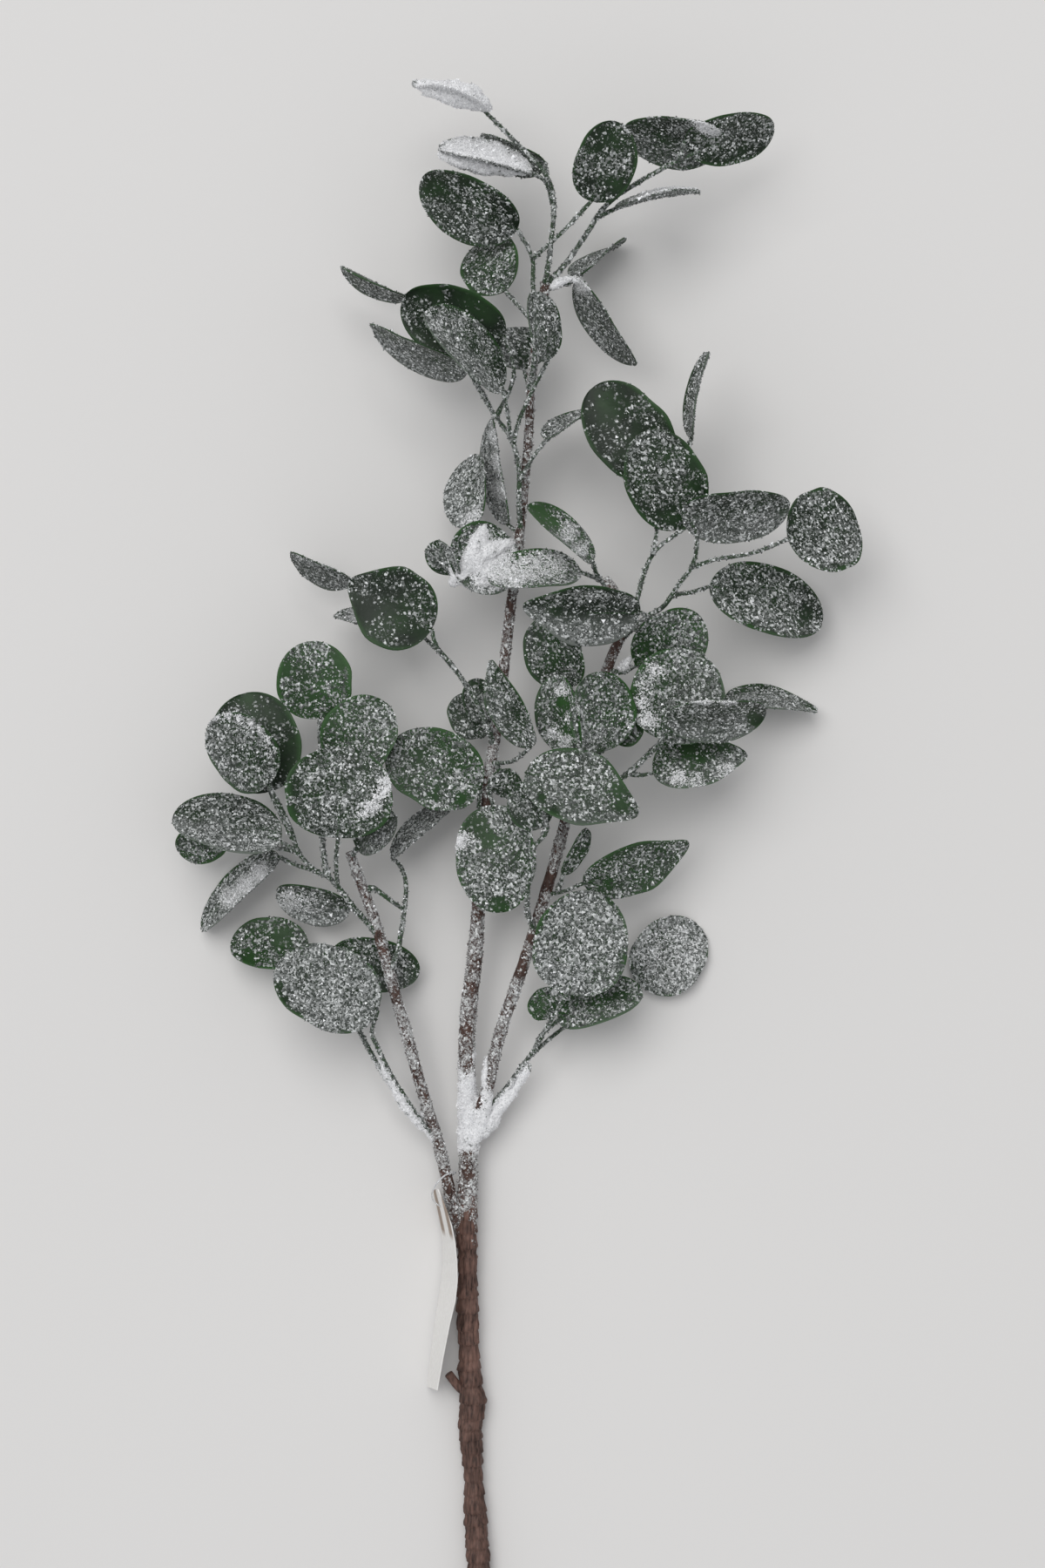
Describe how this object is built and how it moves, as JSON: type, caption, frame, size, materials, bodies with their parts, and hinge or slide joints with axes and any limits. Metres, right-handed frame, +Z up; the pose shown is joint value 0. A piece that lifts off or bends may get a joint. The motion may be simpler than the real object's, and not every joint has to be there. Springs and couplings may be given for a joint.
{
  "type": "frosted artificial eucalyptus branch",
  "caption": "Frosted artificial eucalyptus spray lying flat: brown moulded stem with two side branches, green leaf sprigs crusted with white grains, and a blank paper hang tag.",
  "frame": {"origin": "middle of the footprint of the whole spray, on the surface that it lies on", "axes": "+Z up from the surface, +Y along the stem from its cut end to its tip, +X to the right seen from above"},
  "size_m": [0.3086, 0.76, 0.0891],
  "materials": {
    "leaf": "green moulded plastic crusted with white and silver grains",
    "bark": "brown moulded bark, frosted with white grains above the fork",
    "wire": "plain drawn wire, cut off",
    "card": "matte card, blank",
    "thread": "clear thread"
  },
  "bodies": {
    "root": {"bare_twig": "leaf", "hang_tag": "card", "leaf_left_10": "leaf", "leaf_left_11": "leaf", "leaf_left_12": "leaf", "leaf_left_2": "leaf", "leaf_left_4": "leaf", "leaf_left_6": "leaf", "leaf_left_7": "leaf", "leaf_left_8": "leaf", "leaf_lower_right_1": "leaf", "leaf_lower_right_2": "leaf", "leaf_lower_right_3": "leaf", "leaf_lower_right_4": "leaf", "leaf_middle_10": "leaf", "leaf_middle_12": "leaf", "leaf_middle_13": "leaf", "leaf_middle_3": "leaf", "leaf_middle_5": "leaf", "leaf_middle_7": "leaf", "leaf_middle_9": "leaf", "leaf_right_1": "leaf", "leaf_right_2": "leaf", "leaf_right_4": "leaf", "leaf_right_5": "leaf", "leaf_top_11": "leaf", "leaf_top_12": "leaf", "leaf_top_3": "leaf", "leaf_top_5": "leaf", "leaf_top_6": "leaf", "leaf_upper_left_1": "leaf", "leaf_upper_left_2": "leaf", "leaf_upper_left_3": "leaf", "leaf_upper_left_5": "leaf", "leaf_upper_left_6": "leaf", "leaf_upper_left_8": "leaf", "leaf_upper_right_1": "leaf", "leaf_upper_right_4": "leaf", "leaf_upper_right_5": "leaf", "left_branch": "bark", "main_stem": "bark", "right_branch": "bark", "sprig_front": "leaf", "sprig_left": "leaf", "sprig_left_centre": "leaf", "sprig_lower_left": "leaf", "sprig_lower_left_back": "leaf", "sprig_lower_right": "leaf", "sprig_middle_left": "leaf", "sprig_right": "leaf", "sprig_right_inner": "leaf", "sprig_right_outer": "leaf", "sprig_snow": "leaf", "sprig_top_centre": "leaf", "sprig_top_left": "leaf", "sprig_top_right": "leaf", "sprig_upper_left": "leaf", "stem_wire": "wire", "tag_loop": "thread"}
  },
  "joints": []
}
